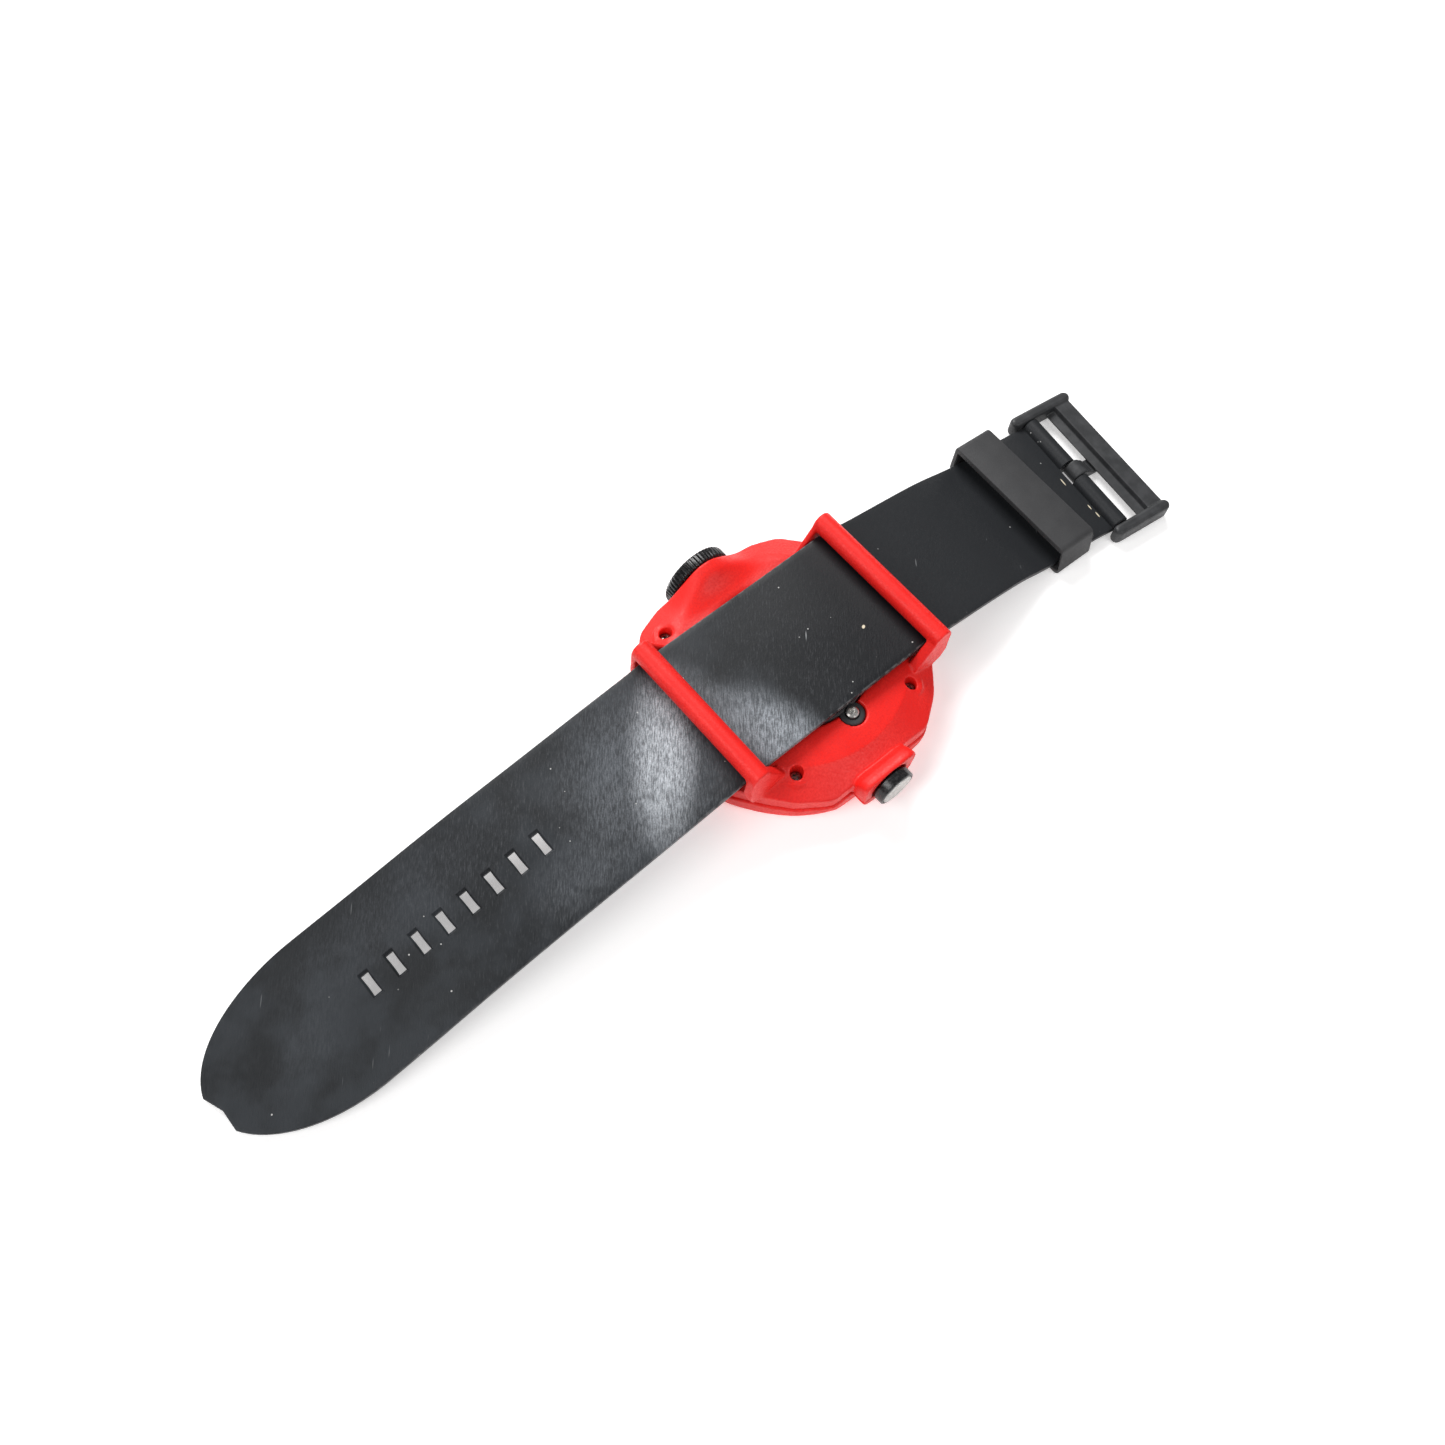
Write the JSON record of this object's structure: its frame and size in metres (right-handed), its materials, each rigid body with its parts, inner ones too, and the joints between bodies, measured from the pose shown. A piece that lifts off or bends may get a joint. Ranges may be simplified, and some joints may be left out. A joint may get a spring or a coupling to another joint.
{
  "type": "wrist dive computer",
  "caption": "Round wrist dive computer lying face down: red case with strap bars, ribbed crown, push button and screwed battery door, on a long black strap with keeper and tongue buckle.",
  "frame": {"origin": "centre of the lens face, on the surface that the part lies on", "axes": "+Z from the lens up through the case back, +X along the strap towards the buckle, +Y towards the crown wheel"},
  "size_m": [0.2619, 0.0715, 0.0218],
  "materials": {
    "red_plastic": "satin moulded, fine grain",
    "strap_pvc": "satin with fine lengthwise streaks",
    "buckle_plastic": "satin black",
    "black_plastic": "satin black",
    "black_gloss": "glossy black",
    "silver_plate": "fine satin",
    "screw_steel": "bright nickel",
    "seal_rubber": "matt",
    "lens_clear": "polished",
    "display_glass": "grey-green liquid crystal",
    "light_guide": "milky white",
    "board_green": "solder mask",
    "contact_brass": "bright",
    "cell_steel": "fine brushed"
  },
  "bodies": {
    "case": {"front_case": "red_plastic", "rear_case": "red_plastic", "shell_screw_1": "screw_steel", "shell_screw_2": "screw_steel", "shell_screw_3": "screw_steel", "shell_screw_4": "screw_steel", "battery_door": "black_plastic", "battery_door_screw": "screw_steel", "battery_door_seal": "seal_rubber", "case_seal": "seal_rubber", "bezel_ring": "black_plastic", "lens": "lens_clear", "lens_gasket": "seal_rubber", "dial_plate": "black_plastic", "lcd_display": "display_glass", "light_guide": "light_guide", "lcd_connector_1": "seal_rubber", "lcd_connector_2": "seal_rubber", "circuit_board": "board_green", "processor": "black_gloss", "crystal_can": "cell_steel", "pressure_sensor": "cell_steel", "buzzer": "contact_brass", "coin_cell": "cell_steel", "cell_contact_minus": "contact_brass", "cell_contact_plus": "contact_brass", "crown_seal": "seal_rubber", "crown_encoder": "black_plastic", "button_seal": "seal_rubber", "button_switch": "black_plastic", "strap_centre": "strap_pvc"},
    "tail": {"strap_tail": "strap_pvc"},
    "buckle_side": {"strap_buckle_side": "strap_pvc"},
    "keeper": {"strap_keeper": "buckle_plastic"},
    "buckle": {"buckle_frame": "buckle_plastic", "buckle_pin": "cell_steel"},
    "tongue": {"buckle_tongue": "buckle_plastic"},
    "crown": {"crown_wheel": "black_gloss", "crown_shaft": "cell_steel"},
    "button": {"button_body": "black_gloss", "button_cap": "silver_plate", "button_clip": "cell_steel"}
  },
  "joints": [
    {"name": "tail_fold", "type": "hinge", "parent": "case", "child": "tail", "pos_m": [-0.0267, 0, 0.0193], "axis": [0, 1, 0], "range_deg": [0, 100]},
    {"name": "buckle_side_fold", "type": "hinge", "parent": "case", "child": "buckle_side", "pos_m": [0.0267, 0, 0.0193], "axis": [0, -1, 0], "range_deg": [0, 100]},
    {"name": "keeper_slide", "type": "slide", "parent": "buckle_side", "child": "keeper", "axis": [0.9959, -0.0906, 0], "range_m": [-0.004, 0.006]},
    {"name": "buckle_hinge", "type": "hinge", "parent": "buckle_side", "child": "buckle", "pos_m": [0.0972, -0.00309, 0.00245], "axis": [0.124, 0.9923, 0], "range_deg": [-90, 40]},
    {"name": "tongue_hinge", "type": "hinge", "parent": "buckle", "child": "tongue", "pos_m": [0.0972, -0.00309, 0.00245], "axis": [0.124, 0.9923, 0], "range_deg": [0, 80]},
    {"name": "crown_spin", "type": "hinge", "parent": "case", "child": "crown", "pos_m": [-0.0008, 0.029, 0.00875], "axis": [0, 1, 0], "continuous": true},
    {"name": "button_press", "type": "slide", "parent": "case", "child": "button", "axis": [0, 1, 0], "range_m": [0, 0.0012], "stiffness_N_per_m": 300, "springref_m": -0.002}
  ]
}
